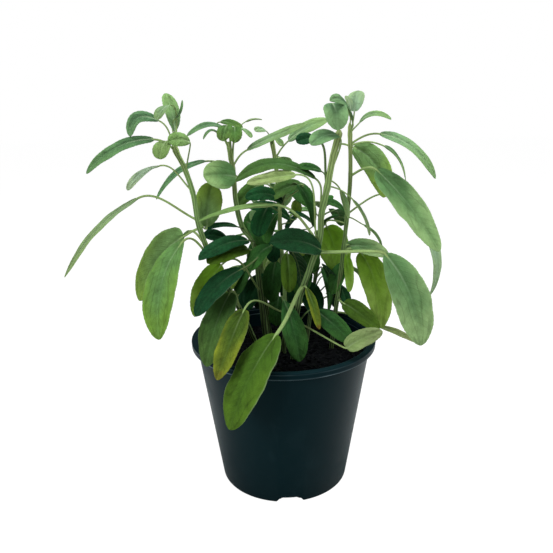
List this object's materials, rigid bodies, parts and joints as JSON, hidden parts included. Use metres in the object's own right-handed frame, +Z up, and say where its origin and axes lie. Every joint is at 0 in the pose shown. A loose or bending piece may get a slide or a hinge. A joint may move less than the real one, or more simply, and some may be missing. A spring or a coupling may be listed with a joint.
{
  "type": "potted sage",
  "caption": "Potted herb: a tapered round nursery pot filled with mix, with upright stems of long-stalked blunt grey-green leaves.",
  "frame": {"origin": "centre of the flat disc under the pot, on the surface that the pot stands on", "axes": "+Z up, -Y towards the front of the plant as seen in the picture, +X to the right"},
  "size_m": [0.2445, 0.178, 0.2722],
  "materials": {
    "pot_plastic": "near-black moulded plastic with a soft sheen",
    "potting_mix": "matte, dark moist crumbly mix",
    "sage_leaf": "matte, soft grey-green leaf with a fine velvety pebbled surface"
  },
  "bodies": {
    "root": {"pot": "pot_plastic", "potting_mix": "potting_mix", "stem_left": "sage_leaf", "stem_mid_left": "sage_leaf", "stem_back": "sage_leaf", "stem_centre": "sage_leaf", "stem_mid_right": "sage_leaf", "stem_right": "sage_leaf", "stem_rear_left": "sage_leaf", "stem_rear_right": "sage_leaf"}
  },
  "joints": []
}
